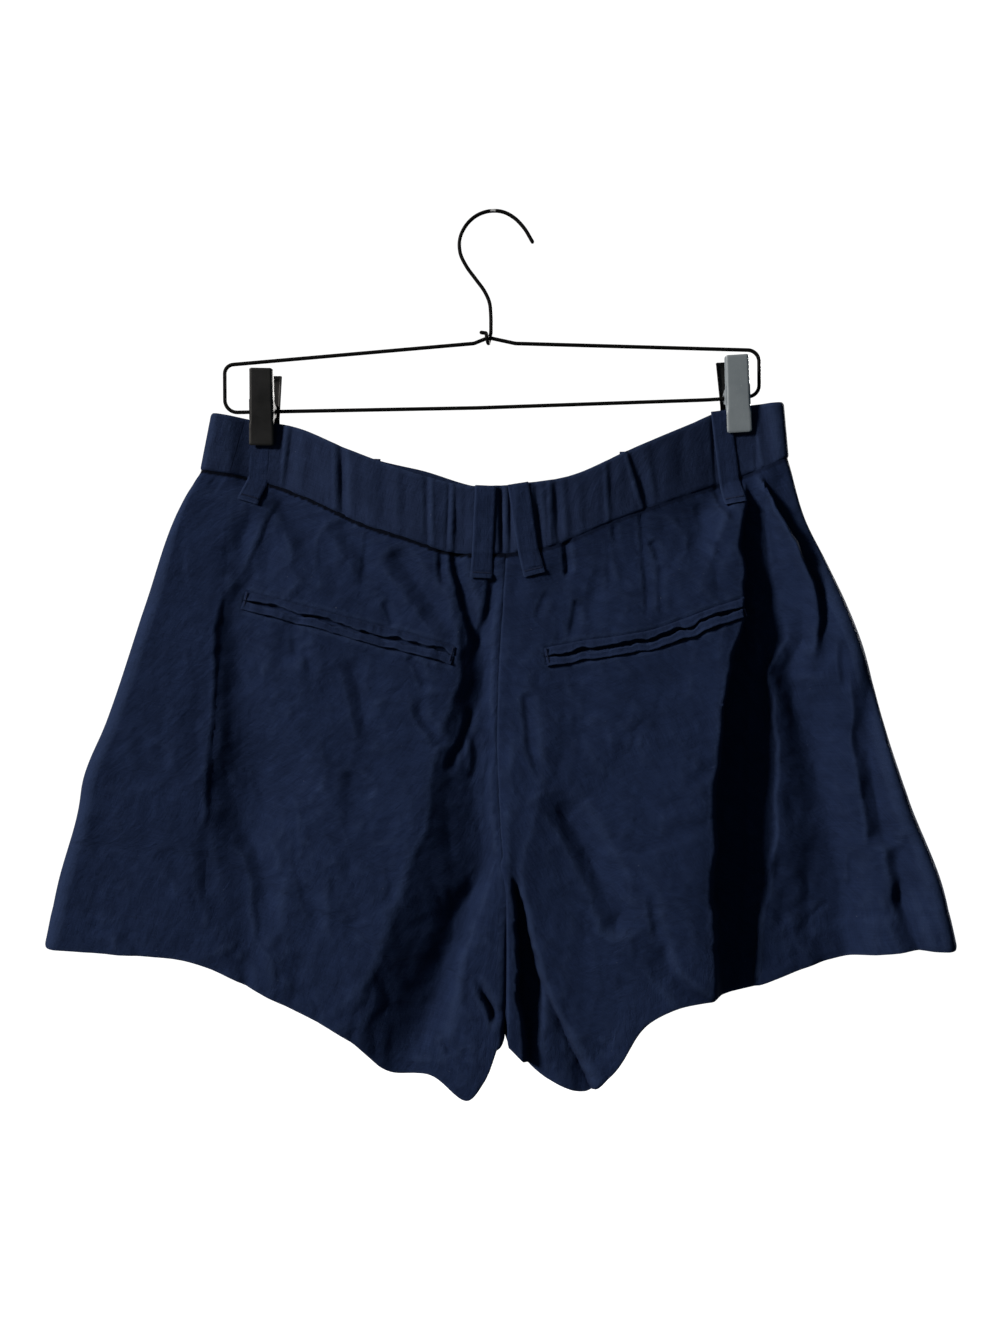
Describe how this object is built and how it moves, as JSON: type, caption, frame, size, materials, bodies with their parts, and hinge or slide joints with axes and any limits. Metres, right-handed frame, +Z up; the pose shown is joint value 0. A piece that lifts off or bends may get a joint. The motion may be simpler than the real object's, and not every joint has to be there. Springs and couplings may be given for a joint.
{
  "type": "linen shorts on a clip hanger",
  "caption": "Dark blue linen shorts with a gathered back waistband and welt pockets, hung by two clips from a wire hanger.",
  "frame": {"origin": "inner top of the hanger's hook, where the hanger rests on a rail", "axes": "+Z up, +X towards the wearer's right, and the garment's back faces -Y"},
  "size_m": [0.5845, 0.0607, 0.5719],
  "materials": {
    "linen_back": "matte woven",
    "linen_front": "matte woven",
    "linen_band": "matte woven",
    "linen_trim": "matte woven",
    "button": "satin",
    "wire": "black coated",
    "clip_black": "black coated",
    "clip_grey": "grey satin",
    "spring": "plain"
  },
  "bodies": {
    "root": {"back_left": "linen_back", "back_right": "linen_back", "front_left": "linen_front", "front_right": "linen_front", "waistband_back": "linen_band", "waistband_front_left": "linen_band", "waistband_front_right": "linen_band", "belt_loop_outer_left": "linen_trim", "belt_loop_centre_left": "linen_trim", "belt_loop_centre_right": "linen_trim", "belt_loop_outer_right": "linen_trim", "belt_loop_front_left": "linen_trim", "belt_loop_front_right": "linen_trim", "welt_left_upper": "linen_trim", "welt_left_lower": "linen_trim", "welt_right_upper": "linen_trim", "welt_right_lower": "linen_trim", "fly_facing": "linen_trim", "waist_button": "button", "hanger_frame": "wire", "hanger_hook": "wire", "clip_left_plate_near": "clip_black", "clip_left_plate_far": "clip_black", "clip_right_plate_near": "clip_grey", "clip_right_plate_far": "clip_grey", "clip_left_spring": "spring", "clip_right_spring": "spring"}
  },
  "joints": []
}
